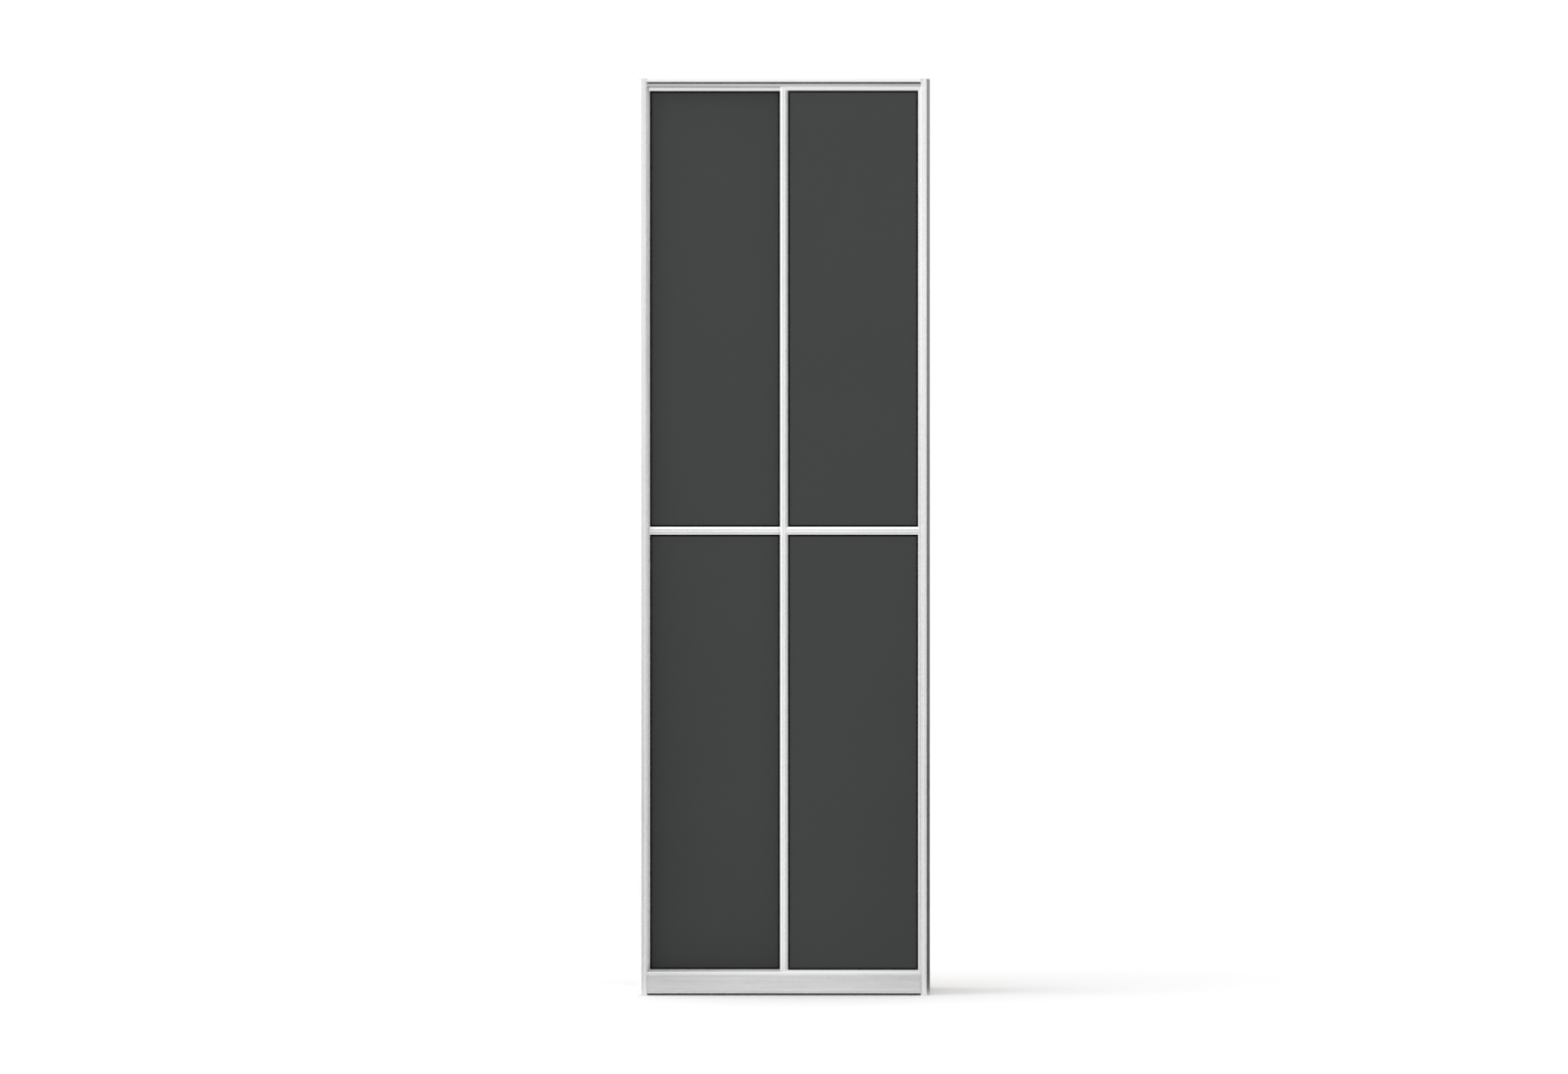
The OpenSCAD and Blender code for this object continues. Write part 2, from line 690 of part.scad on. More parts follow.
module bottom_rail(side) {
    z0 = door_low;
    z1 = bottom_rail_top;
    outer = mid_d - rail_face;
    inner = outer - skin;
    floor = z1 - rail_channel;
    half = [
        [0, floor], [channel_w / 2, floor], [channel_w / 2, z1], [outer - 0.8, z1], [outer, z1 - 0.8],
        [outer, z0], [inner, z0], [inner, floor - skin], [port_half, floor - skin],
        [port_half, port_zs[0] - port_half], [0, port_zs[0] - port_half]
    ];
    color(aluminium) on_track(side) difference() {
        rail_between(z0, z1, port_zs[0]) translate([mid_d, 0]) polygon(doubled(half));
        for (x = roller_spots)
            rod_y(pivot_r + fit_play, x + pivot_side(x) * pivot_x, -1, door_t + 1, roller_z);
    }
}

// The pivot pin of each carriage is on the side nearer the middle of the door
function pivot_side(x) = x < (stile_x + rail_end) / 2 ? 1 : -1;

// Lowest and highest corners of the upper and lower panels
panel_x = [stile_x - stile_channel + 1.5, rail_end + outer_channel - 1.5];
panel_y = [mid_d - panel_t / 2, mid_d + panel_t / 2];
upper_z = [mid_rail_z + mid_rail_h / 2 - rail_channel + 1.5, top_rail_low + rail_channel - 1.5];
lower_z = [bottom_rail_top - rail_channel + 1, mid_rail_z - mid_rail_h / 2 + rail_channel - 1.5];

module door_panel(side, zs) {
    color(graphite) on_track(side) block([panel_x[0], panel_y[0], zs[0]], [panel_x[1], panel_y[1], zs[1]]);
}
module upper_panel(side) { door_panel(side, upper_z); }
module lower_panel(side) { door_panel(side, lower_z); }

// U-section gasket round one panel: opening is the clear daylight between the frame members
module gasket(zs, opening) {
    edge = 0.8;
    difference() {
        block([panel_x[0] - edge, mid_d - channel_w / 2, zs[0] - edge],
              [panel_x[1] + edge, mid_d + channel_w / 2, zs[1] + edge]);
        block([panel_x[0], panel_y[0], zs[0]], [panel_x[1], panel_y[1], zs[1]]);
        block([stile_x + gasket_show, -1, opening[0] + gasket_show],
              [rail_end - gasket_show, door_t + 1, opening[1] - gasket_show]);
    }
}

module panel_gaskets(side) {
    half_h = mid_rail_h / 2;
    color(black_rubber) on_track(side) {
        gasket(upper_z, [mid_rail_z + half_h, top_rail_low]);
        gasket(lower_z, [bottom_rail_top, mid_rail_z - half_h]);
    }
}

// Socket-head screw along X: the head lies from head_x towards the outside (outward = -1 or 1)
module frame_screw(head_x, outward, z) {
    tip = outward < 0 ? stile_x + screw_grip : rail_end - screw_grip;
    rod_x(screw_r, min(head_x, tip), max(head_x, tip), mid_d, z);
    difference() {
        rod_x(3.6, min(head_x, head_x + 1.9 * outward), max(head_x, head_x + 1.9 * outward), mid_d, z);
        translate([head_x + 1.9 * outward, mid_d, z]) rotate([0, 90, 0])
            cylinder(r = 1.7, h = 2.4, center = true, $fn = 6);
    }
}

module frame_screws(side) {
    color(steel) on_track(side) for (z = port_zs) {
        frame_screw(stile_x - stile_channel - skin, -1, z);
        frame_screw(outer_x - 2, 1, z);
    }
    color(steel) on_track(side) for (x = roller_spots, dx = [-14, 14])
        translate([0, 0, door_high]) pan_screw_down(x + dx, mid_d + 6.2, 6);
}

// Small pan-head screw that points down from z = 0
module pan_screw_down(x, y, length) {
    rod_z(1.5, x, y, -length, 0.5);
    rod_z(2.6, x, y, 0, 1.2);
}

// Pile strip down the outer edge, and on the front door a second one behind its meeting stile
module brush_seals(side) {
    color(black_rubber) on_track(side) {
        block([outer_x - 1.7, 2.7, door_low + 1], [outer_x - 0.7, 7.3, door_high - 1]);
        block([outer_x - 1, 4, door_low + 1], [outer_x + door_gap - 0.5, 6, door_high - 1]);
        if (side == "right") {
            block([-3, door_t, door_low + 1], [3, door_t + 1, door_high - 1]);
            block([-1, door_t + 0.5, door_low + 1], [1, track_pitch - 0.6, door_high - 1]);
        }
    }
}

// Pivoting steel carriage that holds one bottom roller between two cheeks
module roller_carriages(side) {
    low = door_low + 0.5;
    color(steel) on_track(side) for (x = roller_spots) translate([x, mid_d, 0]) difference() {
        block([-carriage_l, -cheek_out, low], [carriage_l, cheek_out, carriage_high]);
        block([-flange_r - 3, cheek_t - cheek_out, low - 1],
              [flange_r + 3, cheek_out - cheek_t, carriage_high + 1]);
        rod_y(axle_r + 0.05, 0, -door_t, door_t, roller_z);
        rod_y(pivot_r + fit_play, pivot_side(x) * pivot_x, -door_t, door_t, roller_z);
        rod_z(2.5 + fit_play, -pivot_side(x) * pivot_x, 0, low - 1, carriage_high + 1);
        rod_z(4.2, -pivot_side(x) * pivot_x, 0, low - 1, low + 2.6);
    }
}

module axle_pins(side) {
    color(steel) on_track(side) for (x = roller_spots) {
        rod_y(axle_r, x, mid_d - cheek_out, mid_d + cheek_out, roller_z);
        rod_y(pivot_r, x + pivot_side(x) * pivot_x, rail_face + 0.2, door_t - rail_face - 0.2, roller_z);
    }
}

// Screws that lift or lower each end of the door by tipping its carriage
module adjusting_screws(side) {
    low = door_low + 0.6;
    color(zinc) on_track(side) for (x = roller_spots)
        translate([x - pivot_side(x) * pivot_x, mid_d, 0]) difference() {
            union() {
                rod_z(4, 0, 0, low, low + 2.4);
                rod_z(2.5, 0, 0, low + 2, port_zs[0] - port_half - 0.1);
            }
            translate([0, 0, low - 1]) cylinder(r = 1.7, h = 2.6, $fn = 6);
        }
}

// Plates with an upright stud on the top rail
module guide_brackets(side) {
    stud_top = guide_low + guide_h + 0.3;
    color(steel) on_track(side) for (x = roller_spots) translate([x, mid_d, 0]) difference() {
        union() {
            block([-20, -cheek_out, door_high - bracket_t], [20, cheek_out, door_high]);
            rod_z(axle_r + 1.5, 0, 0, door_high - 0.5, guide_low - 0.3);
            rod_z(axle_r, 0, 0, door_high - 0.5, stud_top + 0.5);
            rod_z(axle_r + 1.5, 0, 0, stud_top, stud_top + 1.2);
        }
        for (dx = [-14, 14]) rod_z(1.6, dx, 6.2, door_high - bracket_t - 1, door_high + 1);
    }
}

// Grooved nylon roller, its groove running on a rib of the sill rail
module roller(side, x) {
    tread = 4;
    hub = cheek_out - cheek_t - 0.3;
    groove = rib_r + 0.5;
    color(nylon) on_track(side) translate([x, mid_d, roller_z]) rotate([90, 0, 0]) rotate_extrude() polygon([
        [bore_r, -hub], [bore_r + 1.4, -hub], [bore_r + 1.4, -tread + 0.6],
        [flange_r - 2.6, -tread + 0.6],
        [flange_r - 2, -tread], [flange_r - 0.4, -tread], [flange_r, -tread + 0.4], [flange_r, -groove - 0.4],
        [roller_r, -groove], [roller_r, groove], [flange_r, groove + 0.4], [flange_r, tread - 0.4],
        [flange_r - 0.4, tread], [flange_r - 2, tread], [flange_r - 2.6, tread - 0.6],
        [bore_r + 1.4, tread - 0.6], [bore_r + 1.4, hub], [bore_r, hub]
    ]);
}
module inner_roller(side) { roller(side, roller_spots[0]); }
module outer_roller(side) { roller(side, roller_spots[1]); }

// Flat nylon wheel that turns on an upright stud between the channel walls
module guide_wheel(side, x) {
    color(nylon) on_track(side) translate([x, mid_d, guide_low]) rotate_extrude() polygon([
        [bore_r, 0], [guide_r - 0.6, 0], [guide_r, 0.6], [guide_r, guide_h - 0.6], [guide_r - 0.6, guide_h],
        [guide_r - 2.5, guide_h], [guide_r - 3, guide_h - 0.8], [bore_r + 2.2, guide_h - 0.8],
        [bore_r + 1.8, guide_h], [bore_r, guide_h]
    ]);
}
module inner_guide_wheel(side) { guide_wheel(side, roller_spots[0]); }
module outer_guide_wheel(side) { guide_wheel(side, roller_spots[1]); }

// ---------- Assembly ----------

side_panel_left();
side_panel_right();
roof_panel();
floor_panel();
hat_shelf();
lower_shelf();
back_panel_upper();
back_panel_lower();
back_joint_strip();
front_post_left();
front_post_right();
post_end_caps();
head_rail();
head_insert();
sill_rail();
glides();
hanging_rail();
rail_sockets();
shelf_pins();
cam_fittings();
wood_dowels();
carcass_screws();
wall_brackets();
door_stops();
for (side = ["left", "right"]) {
    meeting_stile(side);
    outer_stile(side);
    top_rail(side);
    mid_rail(side);
    bottom_rail(side);
    upper_panel(side);
    lower_panel(side);
    panel_gaskets(side);
    frame_screws(side);
    brush_seals(side);
    roller_carriages(side);
    axle_pins(side);
    adjusting_screws(side);
    guide_brackets(side);
    inner_roller(side);
    outer_roller(side);
    inner_guide_wheel(side);
    outer_guide_wheel(side);
}
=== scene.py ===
import math
import random

import bmesh
import bpy
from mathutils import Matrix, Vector


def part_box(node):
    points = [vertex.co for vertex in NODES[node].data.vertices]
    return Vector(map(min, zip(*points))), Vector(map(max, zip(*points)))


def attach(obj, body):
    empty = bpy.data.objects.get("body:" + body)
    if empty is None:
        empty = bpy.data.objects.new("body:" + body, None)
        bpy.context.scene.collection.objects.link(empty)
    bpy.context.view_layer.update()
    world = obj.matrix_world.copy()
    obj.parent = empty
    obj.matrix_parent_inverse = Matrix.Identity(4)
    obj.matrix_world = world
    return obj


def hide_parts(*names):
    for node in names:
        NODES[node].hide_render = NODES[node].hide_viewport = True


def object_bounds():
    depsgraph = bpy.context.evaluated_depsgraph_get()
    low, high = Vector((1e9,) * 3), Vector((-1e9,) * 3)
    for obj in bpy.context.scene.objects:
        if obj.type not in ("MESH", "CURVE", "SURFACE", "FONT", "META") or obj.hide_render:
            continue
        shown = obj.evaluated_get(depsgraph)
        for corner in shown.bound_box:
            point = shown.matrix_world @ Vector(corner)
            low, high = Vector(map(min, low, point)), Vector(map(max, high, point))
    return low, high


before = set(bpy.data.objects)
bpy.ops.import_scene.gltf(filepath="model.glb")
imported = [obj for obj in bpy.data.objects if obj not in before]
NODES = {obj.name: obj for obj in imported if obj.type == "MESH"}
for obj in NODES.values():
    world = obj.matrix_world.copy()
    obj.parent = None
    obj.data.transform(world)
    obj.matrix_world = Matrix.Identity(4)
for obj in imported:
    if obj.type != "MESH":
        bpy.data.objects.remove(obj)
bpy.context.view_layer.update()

random.seed(20)

MM = 0.001
MAP_RANGE_LIMITS = ("From Min", "From Max", "To Min", "To Max")

# ---------- Camera ----------
# Square on to the front, far enough away that the picture has almost no perspective

LENS = 300.0
SENSOR = 36.0
PICTURE_WIDTH = 3.7627
low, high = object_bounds()
centre = (low + high) / 2
distance = PICTURE_WIDTH * LENS / SENSOR

camera = bpy.data.objects.new("camera", bpy.data.cameras.new("camera"))
camera.data.lens = LENS
camera.data.sensor_width = SENSOR
camera.data.clip_start = 1.0
camera.data.clip_end = 200.0
camera.data.dof.use_dof = False
camera.location = (0.0, low.y - distance, centre.z)
camera.rotation_euler = (math.radians(90), 0, 0)
bpy.context.scene.collection.objects.link(camera)
bpy.context.scene.camera = camera
bpy.context.scene.view_settings.view_transform = "Standard"
bpy.context.scene.view_settings.look = "None"


# ---------- Node helpers ----------

class Shader:
    """A material with one Principled shader, and short ways to build the patterns that feed it."""

    def __init__(self, name, **values):
        self.material = bpy.data.materials.new(name)
        self.material.use_nodes = True
        self.tree = self.material.node_tree
        self.tree.nodes.clear()
        output = self.tree.nodes.new("ShaderNodeOutputMaterial")
        self.principled = self.tree.nodes.new("ShaderNodeBsdfPrincipled")
        self.tree.links.new(self.principled.outputs[0], output.inputs["Surface"])
        for key, value in values.items():
            self.principled.inputs[key.replace("_", " ")].default_value = value
        self.coordinates = self.tree.nodes.new("ShaderNodeTexCoord")

    def link(self, source, target):
        self.tree.links.new(source, target)

    def feed(self, name, source):
        """Links a pattern to one input of the Principled shader."""
        self.link(source, self.principled.inputs[name])

    def place(self, stretch=(1, 1, 1)):
        """Object coordinates in metres, stretched."""
        mapping = self.tree.nodes.new("ShaderNodeMapping")
        mapping.inputs["Scale"].default_value = stretch
        self.link(self.coordinates.outputs["Object"], mapping.inputs["Vector"])
        return mapping.outputs[0]

    def noise(self, scale, detail=2.0, rough=0.5, stretch=(1, 1, 1), distortion=0.0):
        """Noise, drawn out along each axis whose stretch is below 1."""
        node = self.tree.nodes.new("ShaderNodeTexNoise")
        node.inputs["Scale"].default_value = scale
        node.inputs["Detail"].default_value = detail
        node.inputs["Roughness"].default_value = rough
        node.inputs["Distortion"].default_value = distortion
        self.link(self.place(stretch), node.inputs["Vector"])
        return node.outputs["Fac"]

    def wave(self, scale, axis):
        """Even bands across one axis."""
        node = self.tree.nodes.new("ShaderNodeTexWave")
        node.bands_direction = axis
        node.inputs["Scale"].default_value = scale
        self.link(self.place(), node.inputs["Vector"])
        return node.outputs["Fac"]

    def math(self, kind, *values):
        """One sum on patterns or plain numbers."""
        node = self.tree.nodes.new("ShaderNodeMath")
        node.operation = kind
        for socket, value in zip(node.inputs, values):
            if isinstance(value, (int, float)):
                socket.default_value = value
            else:
                self.link(value, socket)
        return node.outputs[0]

    def ramp(self, source, low, high, from_low=0.3, from_high=0.7):
        """Maps a pattern onto a range of values."""
        node = self.tree.nodes.new("ShaderNodeMapRange")
        for key, value in zip(MAP_RANGE_LIMITS, (from_low, from_high, low, high)):
            node.inputs[key].default_value = value
        self.link(source, node.inputs["Value"])
        return node.outputs[0]

    def colours(self, source, low, high, from_low=0.3, from_high=0.7):
        """Mixes two colours, or two colour outputs, by a pattern."""
        node = self.tree.nodes.new("ShaderNodeMix")
        node.data_type = "RGBA"
        self.link(self.ramp(source, 0.0, 1.0, from_low, from_high), node.inputs[0])
        for socket, value in ((node.inputs[6], low), (node.inputs[7], high)):
            if isinstance(value, tuple):
                socket.default_value = (*value, 1.0)
            else:
                self.link(value, socket)
        return node.outputs[2]

    def bump(self, *layers):
        """Adds bump layers, each (height pattern, strength, depth in metres)."""
        previous = None
        for height, strength, depth in layers:
            node = self.tree.nodes.new("ShaderNodeBump")
            node.inputs["Strength"].default_value = strength
            node.inputs["Distance"].default_value = depth
            self.link(height, node.inputs["Height"])
            if previous is not None:
                self.link(previous, node.inputs["Normal"])
            previous = node.outputs[0]
        self.feed("Normal", previous)

    def part(self, output, axis):
        """One of the three numbers of a coordinate output."""
        split = self.tree.nodes.new("ShaderNodeSeparateXYZ")
        self.link(self.coordinates.outputs[output], split.inputs[0])
        return split.outputs["XYZ".index(axis)]

    def facing(self, axis):
        """The part of the surface's own normal along X, Y or Z, from -1 to 1."""
        return self.part("Normal", axis)

    def along(self, axis):
        """The place along X, Y or Z, in metres."""
        return self.part("Object", axis)

    def blend(self, first, second, share):
        """Mixes two colour outputs in one fixed share."""
        node = self.tree.nodes.new("ShaderNodeMix")
        node.data_type = "RGBA"
        node.inputs[0].default_value = share
        self.link(first, node.inputs[6])
        self.link(second, node.inputs[7])
        return node.outputs[2]


# ---------- Materials ----------

def aluminium(name, axis, light, dark, rough=0.27, line_strength=0.12):
    """Satin anodised extrusion: fine die lines along the profile, and faint slow changes in its gloss."""
    shader = Shader(name, Metallic=1.0)
    along = {"X": (0.012, 1, 1), "Z": (1, 1, 0.012)}[axis]
    fine = shader.noise(2600, 3.0, 0.6, along)
    streaks = shader.noise(420, 2.0, 0.5, along)
    slow = shader.noise(3.0, 2.0)
    tone = shader.math("ADD", shader.math("MULTIPLY", fine, 0.55), shader.math("MULTIPLY", streaks, 0.45))
    shader.feed("Base Color", shader.colours(tone, dark, light, 0.38, 0.62))
    grain = shader.ramp(tone, rough - 0.05, rough + 0.06, 0.35, 0.65)
    shader.feed("Roughness", shader.math("ADD", grain, shader.ramp(slow, -0.02, 0.02)))
    shader.bump((fine, line_strength, 0.06 * MM), (streaks, line_strength * 0.6, 0.12 * MM))
    return shader.material


def aluminium_with_painted_shade_band(name, band, shade_tones):
    """A rail along X: a band between two heights painted darker as shade, and brighter metal beyond; both
    carry the same brushed lines.
    """
    shader = Shader(name, Metallic=1.0)
    along = (0.02, 1, 1)
    fine = shader.noise(1500, 3.0, 0.6, along)
    streaks = shader.noise(230, 3.0, 0.6, along)
    tone = shader.math("ADD", shader.math("MULTIPLY", fine, 0.5), shader.math("MULTIPLY", streaks, 0.5))
    # The band's darker colour is painted shade.
    shaded = shader.colours(tone, *((grey, grey, grey * 0.997) for grey in shade_tones), 0.36, 0.64)
    bright = shader.colours(tone, (0.860, 0.860, 0.857), (0.900, 0.900, 0.897), 0.36, 0.64)
    blur = 0.2 * MM
    low_z, high_z = band
    half = (high_z - low_z) / 2
    off_middle = shader.math("ABSOLUTE", shader.math("SUBTRACT", shader.along("Z"), low_z + half))
    shader.feed("Base Color", shader.colours(off_middle, shaded, bright, half - blur, half + blur))
    shader.feed("Roughness", shader.ramp(tone, 0.27, 0.38, 0.35, 0.65))
    shader.bump((fine, 0.2, 0.06 * MM), (streaks, 0.15, 0.12 * MM))
    return shader.material


def graphite_board(name):
    """Satin graphite laminate with a fine pore and the faintest cloudiness."""
    shader = Shader(name, Specular_IOR_Level=0.32)
    pores = shader.noise(2200, 2.0, 0.6)
    flecks = shader.noise(520, 2.0, 0.55)
    clouds = shader.noise(4.0, 3.0, 0.5)
    body = shader.colours(clouds, (0.0266, 0.0303, 0.0294), (0.0294, 0.0331, 0.0321))
    fleck = shader.colours(flecks, (0.0243, 0.0276, 0.0267), (0.0324, 0.0360, 0.0350))
    shader.feed("Base Color", shader.blend(body, fleck, 0.5))
    shader.feed("Roughness", shader.ramp(flecks, 0.36, 0.45))
    shader.bump((pores, 0.10, 0.05 * MM), (flecks, 0.06, 0.08 * MM))
    return shader.material


def melamine(name):
    """White melamine-faced board: pearled faces, and a slightly warmer band on its front and back edges."""
    shader = Shader(name)
    pearl = shader.noise(900, 3.0, 0.55)
    slow = shader.noise(7.0, 3.0)
    face = shader.colours(slow, (0.655, 0.655, 0.645), (0.672, 0.672, 0.662))
    band = shader.colours(pearl, (0.620, 0.618, 0.602), (0.645, 0.643, 0.628))
    widest = shader.math("MAXIMUM", shader.math("ABSOLUTE", shader.facing("X")),
                         shader.math("ABSOLUTE", shader.facing("Z")))
    shader.feed("Base Color", shader.colours(widest, band, face, 0.4, 0.6))
    shader.feed("Roughness", shader.ramp(pearl, 0.40, 0.52))
    shader.bump((pearl, 0.16, 0.10 * MM))
    return shader.material


def hardboard(name):
    """Thin fibreboard: lacquered white towards the front, raw brown fibre with a screen pattern behind."""
    shader = Shader(name, Specular_IOR_Level=0.3)
    fibre = shader.noise(700, 4.0, 0.65, (1, 1, 0.45))
    clumps = shader.noise(90, 3.0, 0.6)
    slow = shader.noise(3.5, 3.0)
    raw = shader.colours(fibre, (0.205, 0.128, 0.070), (0.345, 0.232, 0.136))
    stained = shader.colours(clumps, (0.215, 0.138, 0.078), (0.330, 0.220, 0.130))
    board = shader.blend(raw, stained, 0.45)
    lacquer = shader.colours(slow, (0.640, 0.640, 0.628), (0.660, 0.660, 0.650))
    facing = shader.facing("Y")
    turn = (-0.55, -0.45)
    shader.feed("Base Color", shader.colours(facing, lacquer, board, *turn))
    shader.feed("Roughness", shader.ramp(facing, 0.42, 0.82, *turn))
    weave = shader.math("MULTIPLY", shader.wave(150, "X"), shader.wave(150, "Z"))
    screen = shader.math("MULTIPLY", weave, shader.ramp(facing, 0.0, 1.0, *turn))
    shader.bump((screen, 0.35, 0.25 * MM), (fibre, 0.12, 0.12 * MM))
    return shader.material


def moulded(name, light, dark, rough=0.42, strength=0.10, **values):
    """Moulded plastic or rubber: a fine spark-eroded grain with a slow change of tone."""
    shader = Shader(name, **values)
    grain = shader.noise(2400, 2.0, 0.6)
    slow = shader.noise(60, 2.0)
    shader.feed("Base Color", shader.colours(slow, dark, light))
    shader.feed("Roughness", shader.ramp(grain, rough - 0.05, rough + 0.07))
    shader.bump((grain, strength, 0.08 * MM))
    return shader.material


def metal(name, light, dark, rough, stretch=(1, 1, 1), strength=0.08, scale=1400):
    """Plated or cast metal with a grain that may be drawn out along one axis."""
    shader = Shader(name, Metallic=1.0)
    grain = shader.noise(scale, 3.0, 0.55, stretch)
    smears = shader.noise(45, 3.0, 0.6)
    shader.feed("Base Color", shader.colours(smears, dark, light))
    shader.feed("Roughness", shader.math("ADD", shader.ramp(grain, rough - 0.04, rough + 0.05),
                                         shader.ramp(smears, -0.02, 0.03)))
    shader.bump((grain, strength, 0.08 * MM))
    return shader.material


def beech(name):
    """Turned beech with its grain along X and short darker ray flecks."""
    shader = Shader(name, Specular_IOR_Level=0.35)
    grain = shader.noise(900, 4.0, 0.6, (0.06, 1, 1), distortion=0.3)
    flecks = shader.noise(2200, 2.0, 0.5, (0.25, 1, 1))
    wood = shader.colours(grain, (0.480, 0.315, 0.170), (0.660, 0.470, 0.280))
    shader.feed("Base Color", shader.colours(flecks, (0.330, 0.200, 0.100), wood, 0.30, 0.40))
    shader.feed("Roughness", shader.ramp(grain, 0.48, 0.66))
    shader.bump((grain, 0.25, 0.12 * MM))
    return shader.material


def pile(name):
    """Dense polypropylene pile: each tuft a little lighter or darker than the next."""
    shader = Shader(name, Specular_IOR_Level=0.3, Sheen_Weight=0.35, Sheen_Roughness=0.45)
    tufts = shader.noise(700, 2.0, 0.5)
    strands = shader.noise(3800, 2.0, 0.5, (0.15, 0.15, 1))
    shader.feed("Base Color", shader.colours(tufts, (0.030, 0.031, 0.031), (0.085, 0.087, 0.087)))
    shader.feed("Roughness", shader.ramp(strands, 0.60, 0.85))
    shader.bump((strands, 0.5, 0.15 * MM))
    return shader.material


SATIN_TONES = ((0.905, 0.905, 0.900), (0.845, 0.845, 0.842))
# Brighter tones for the door top rails: painted light, standing in for the light the head rail shades off
# them.
TOP_RAIL_PAINTED_LIGHT_TONES = ((0.945, 0.945, 0.940), (0.905, 0.905, 0.902))
# Heights of the bands of painted shade: the plinth's flat face, darker near the floor, and the head rail's
# slant, which faces down.
PLINTH_PAINTED_SHADE = (7.6 * MM, 48.3 * MM)
HEAD_PAINTED_SHADE = (2180.5 * MM, 2187.7 * MM)

MATERIALS = {
    "aluminium_upright": aluminium("aluminium_upright", "Z", *SATIN_TONES),
    "aluminium_level": aluminium("aluminium_level", "X", *SATIN_TONES),
    # The plinth and head rail carry bands of painted shade.
    "aluminium_plinth_painted_shade": aluminium_with_painted_shade_band("aluminium_plinth_painted_shade", PLINTH_PAINTED_SHADE, (0.640, 0.790)),
    "aluminium_head_painted_shade": aluminium_with_painted_shade_band("aluminium_head_painted_shade", HEAD_PAINTED_SHADE, (0.480, 0.560)),
    # Door top rails: a smoother finish, with brighter tones that are painted light.
    "aluminium_smooth_painted_light": aluminium("aluminium_smooth_painted_light", "X", *TOP_RAIL_PAINTED_LIGHT_TONES, rough=0.14),
    "graphite_board": graphite_board("graphite_laminate"),
    "carcass_board": melamine("white_melamine"),
    "hardboard": hardboard("lacquered_hardboard"),
    "white_plastic": moulded("white_plastic", (0.78, 0.78, 0.76), (0.74, 0.74, 0.72)),
    "grey_plastic": moulded("grey_plastic", (0.63, 0.64, 0.64), (0.58, 0.59, 0.59)),
    # black_rubber is blacker and duller than real rubber: partly the real black gaskets, partly painted
    # shade so the lines round the panels read as shadow gaps.
    "black_rubber": moulded("black_rubber", (0.0045, 0.0045, 0.0045), (0.0030, 0.0030, 0.0030), 0.80, 0.2,
                            Specular_IOR_Level=0.06),
    "nylon": moulded("nylon", (0.80, 0.79, 0.74), (0.75, 0.74, 0.69), 0.34, 0.05),
    "chromed_tube": metal("chromed_tube", (0.80, 0.81, 0.82), (0.76, 0.77, 0.78), 0.10, (0.02, 1, 1), 0.02),
    "zinc": metal("zinc_casting", (0.60, 0.61, 0.62), (0.53, 0.54, 0.55), 0.36, strength=0.16, scale=900),
    "plated_steel": metal("plated_steel", (0.70, 0.71, 0.72), (0.63, 0.64, 0.65), 0.26, (0.1, 1, 1)),
    "beech": beech("beech"),
    "pile": pile("pile"),
}

RAIL_FINISHES = {
    "sill_rail": "aluminium_plinth_painted_shade",
    "head_rail": "aluminium_head_painted_shade",
    "left_door_top_rail": "aluminium_smooth_painted_light",
    "right_door_top_rail": "aluminium_smooth_painted_light",
}
LEVEL_ALUMINIUM = ("mid_rail", "bottom_rail")


def finish_for(node_name, slot_name):
    """The material of a CAD node, from its slot in the record and the way its profile runs."""
    if slot_name != "anodised_aluminium":
        return MATERIALS[slot_name]
    if node_name in RAIL_FINISHES:
        return MATERIALS[RAIL_FINISHES[node_name]]
    if node_name.endswith(LEVEL_ALUMINIUM):
        return MATERIALS["aluminium_level"]
    return MATERIALS["aluminium_upright"]


# ---------- Edges ----------

MERGE_DISTANCE = 2e-6
FLAT_ANGLE = math.radians(0.4)
ROUND_SEGMENTS = 2
ROUND_ANGLE = math.radians(31)


def clean_up_group():
    """Joins the split corners of an imported mesh and shades it smooth, so that its edges can be rounded."""
    group = bpy.data.node_groups.new("clean_up", "GeometryNodeTree")
    group.interface.new_socket("Geometry", in_out="INPUT", socket_type="NodeSocketGeometry")
    group.interface.new_socket("Geometry", in_out="OUTPUT", socket_type="NodeSocketGeometry")
    source = group.nodes.new("NodeGroupInput")
    target = group.nodes.new("NodeGroupOutput")
    merge = group.nodes.new("GeometryNodeMergeByDistance")
    merge.inputs["Distance"].default_value = MERGE_DISTANCE
    last = merge.outputs[0]
    group.links.new(source.outputs[0], merge.inputs[0])
    for attribute in ("custom_normal", "sharp_edge"):
        remove = group.nodes.new("GeometryNodeRemoveAttribute")
        remove.inputs["Name"].default_value = attribute
        group.links.new(last, remove.inputs[0])
        last = remove.outputs[0]
    smooth = group.nodes.new("GeometryNodeSetShadeSmooth")
    group.links.new(last, smooth.inputs[0])
    group.links.new(smooth.outputs[0], target.inputs[0])
    return group


CLEAN_UP = clean_up_group()


def round_edges(piece, width):
    """Rounds a CAD piece's hard edges by a width in metres."""
    piece.modifiers.new("clean_up", "NODES").node_group = CLEAN_UP
    planar = piece.modifiers.new("planar", "DECIMATE")
    planar.decimate_type = "DISSOLVE"
    planar.angle_limit = FLAT_ANGLE
    bevel = piece.modifiers.new("edges", "BEVEL")
    bevel.width = width
    bevel.segments = ROUND_SEGMENTS
    bevel.limit_method = "ANGLE"
    bevel.angle_limit = ROUND_ANGLE
    bevel.use_clamp_overlap = True
    bevel.harden_normals = False
    weighted = piece.modifiers.new("normals", "WEIGHTED_NORMAL")
    weighted.mode = "FACE_AREA"
    weighted.keep_sharp = False


